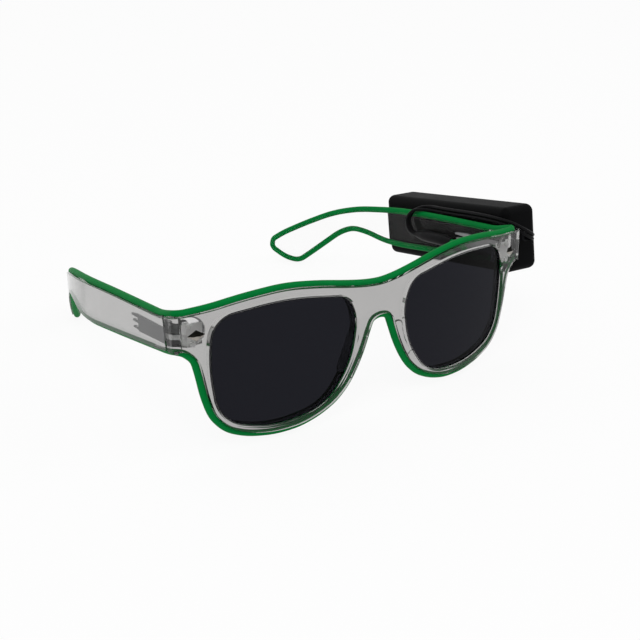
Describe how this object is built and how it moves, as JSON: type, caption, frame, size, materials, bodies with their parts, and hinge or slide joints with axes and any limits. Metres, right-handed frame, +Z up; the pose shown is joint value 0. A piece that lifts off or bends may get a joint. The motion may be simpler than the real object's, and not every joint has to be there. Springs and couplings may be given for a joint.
{
  "type": "light up party glasses",
  "caption": "Clear sunglasses edged with a green light wire, with dark lenses, folding arms, and a battery and driver case with a button on one arm.",
  "frame": {"origin": "just under the arch of the bridge, where it rests over the nose, in the middle of the front's thickness", "axes": "+X is the wearer's left, -Y is the way the wearer looks, and +Z is up along the front"},
  "size_m": [0.1696, 0.1542, 0.0513],
  "materials": {
    "board": "green laminate",
    "button_switch": "black moulded body",
    "capacitor": "dark sleeve",
    "case_plastic": "fine matte black",
    "cell_can": "printed sleeve, plain",
    "clear_plastic": "clear moulded polycarbonate, polished",
    "contact_metal": "bright plated",
    "driver_chip": "black moulded body",
    "foam_tape": "soft foam tape",
    "hinge_metal": "stamped, plain",
    "lead_sleeve": "black insulated strand",
    "light_wire": "soft clear-coated sleeve over a green phosphor wire",
    "shrink_sleeve": "heat-shrunk black sleeve",
    "smoke_lens": "dark smoke tint, polished",
    "soft_rubber": "matte black",
    "stud_metal": "faceted and bright",
    "transformer": "dark ferrite with its winding"
  },
  "bodies": {
    "front": {"frame_hinge_left": "hinge_metal", "frame_hinge_right": "hinge_metal", "front_frame": "clear_plastic", "hinge_screw_left": "hinge_metal", "hinge_screw_right": "hinge_metal", "lens_left": "smoke_lens", "lens_right": "smoke_lens", "light_wire_bend_low_left": "light_wire", "light_wire_bend_low_right": "light_wire", "light_wire_bend_top_left": "light_wire", "light_wire_bend_top_right": "light_wire", "light_wire_brow": "light_wire", "light_wire_rim": "light_wire", "stud_left": "stud_metal", "stud_right": "stud_metal"},
    "right_arm": {"arm_right": "clear_plastic", "arm_hinge_right": "hinge_metal", "light_wire_arm_right": "light_wire"},
    "left_arm": {"arm_left": "clear_plastic", "arm_hinge_left": "hinge_metal", "light_wire_arm_left": "light_wire", "light_wire_cap": "shrink_sleeve", "light_wire_tail": "light_wire", "shrink_sleeve": "shrink_sleeve", "lead_upper": "lead_sleeve", "lead_lower": "lead_sleeve", "battery_case": "case_plastic", "case_cover": "case_plastic", "circuit_board": "board", "button_switch": "button_switch", "transformer": "transformer", "capacitor": "capacitor", "driver_chip": "driver_chip", "cell_lower": "cell_can", "cell_upper": "cell_can", "front_contacts": "contact_metal", "rear_contact": "contact_metal", "lead_grommet": "soft_rubber", "foam_pad": "foam_tape", "case_screws": "contact_metal"},
    "door": {"battery_door": "case_plastic"},
    "button": {"power_button": "soft_rubber"}
  },
  "joints": [
    {"name": "right_arm_hinge", "type": "hinge", "parent": "front", "child": "right_arm", "pos_m": [-0.0672, 0.01182, 0.0075], "axis": [0, 0, -1], "range_deg": [-10, 78], "deforming": ["light_wire_bend_top_right", "light_wire_bend_low_right"]},
    {"name": "left_arm_hinge", "type": "hinge", "parent": "front", "child": "left_arm", "pos_m": [0.0672, 0.01182, 0.0075], "axis": [0, 0, 1], "range_deg": [0, 72], "deforming": ["light_wire_bend_top_left", "light_wire_bend_low_left"]},
    {"name": "battery_door_slide", "type": "slide", "parent": "left_arm", "child": "door", "axis": [0.0963, 0.9821, -0.1616], "range_m": [0, 0.045]},
    {"name": "power_button_press", "type": "slide", "parent": "left_arm", "child": "button", "axis": [-0.9952, 0.0976, 0], "range_m": [0, 0.0005], "stiffness_N_per_m": 300}
  ]
}
